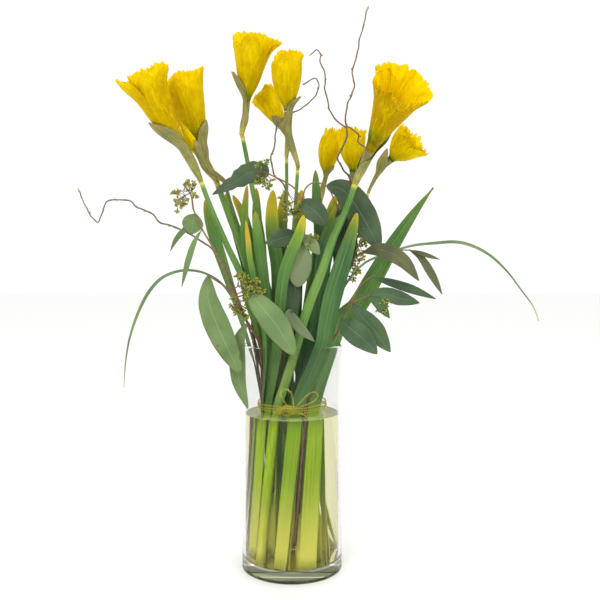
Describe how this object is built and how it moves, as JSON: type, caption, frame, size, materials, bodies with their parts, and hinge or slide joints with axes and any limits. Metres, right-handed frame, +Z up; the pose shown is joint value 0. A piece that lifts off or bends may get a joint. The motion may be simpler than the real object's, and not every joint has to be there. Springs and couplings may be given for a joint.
{
  "type": "vase of daffodils",
  "caption": "Clear glass cylinder vase of water holding nine half-open yellow daffodils and a bud with strap leaves, seeded eucalyptus, curly willow twigs and lily grass, tied with thin green cord.",
  "frame": {"origin": "centre of the vase's underside", "axes": "+Z up; -Y towards the viewer of the picture, +X to their right"},
  "size_m": [0.4042, 0.1488, 0.4972],
  "materials": {
    "glass": "clear",
    "water": "clear",
    "cord": "satin",
    "stem": "satin",
    "spathe": "matte",
    "petal": "matte",
    "strap_leaf": "satin",
    "lily_grass": "satin",
    "willow_bark": "matte",
    "eucalyptus_leaf": "matte"
  },
  "bodies": {
    "root": {"daffodil_1_stem": "stem", "daffodil_1_spathe": "spathe", "daffodil_1_bloom": "petal", "daffodil_2_stem": "stem", "daffodil_2_spathe": "spathe", "daffodil_2_bloom": "petal", "daffodil_3_stem": "stem", "daffodil_3_spathe": "spathe", "daffodil_3_bloom": "petal", "daffodil_4_stem": "stem", "daffodil_4_spathe": "spathe", "daffodil_4_bloom": "petal", "daffodil_5_stem": "stem", "daffodil_5_spathe": "spathe", "daffodil_5_bloom": "petal", "daffodil_6_stem": "stem", "daffodil_6_spathe": "spathe", "daffodil_6_bloom": "petal", "daffodil_7_stem": "stem", "daffodil_7_spathe": "spathe", "daffodil_7_bloom": "petal", "daffodil_8_stem": "stem", "daffodil_8_spathe": "spathe", "daffodil_8_bloom": "petal", "daffodil_9_stem": "stem", "daffodil_9_spathe": "spathe", "daffodil_9_bloom": "petal", "daffodil_10_stem": "stem", "daffodil_10_spathe": "spathe", "daffodil_10_bloom": "petal", "daffodil_leaf_1": "strap_leaf", "daffodil_leaf_2": "strap_leaf", "daffodil_leaf_3": "strap_leaf", "daffodil_leaf_4": "strap_leaf", "daffodil_leaf_5": "strap_leaf", "daffodil_leaf_6": "strap_leaf", "daffodil_leaf_7": "strap_leaf", "daffodil_leaf_8": "strap_leaf", "daffodil_leaf_9": "strap_leaf", "daffodil_leaf_10": "strap_leaf", "daffodil_leaf_11": "strap_leaf", "daffodil_leaf_12": "strap_leaf", "daffodil_leaf_13": "strap_leaf", "daffodil_leaf_14": "strap_leaf", "daffodil_leaf_15": "strap_leaf", "daffodil_leaf_16": "strap_leaf", "lily_grass_1": "lily_grass", "lily_grass_2": "lily_grass", "curly_willow_1": "willow_bark", "curly_willow_2": "willow_bark", "curly_willow_3": "willow_bark", "eucalyptus_1": "eucalyptus_leaf", "eucalyptus_2": "eucalyptus_leaf", "eucalyptus_3": "eucalyptus_leaf", "eucalyptus_4": "eucalyptus_leaf", "cord": "cord", "vase": "glass", "water": "water"}
  },
  "joints": []
}
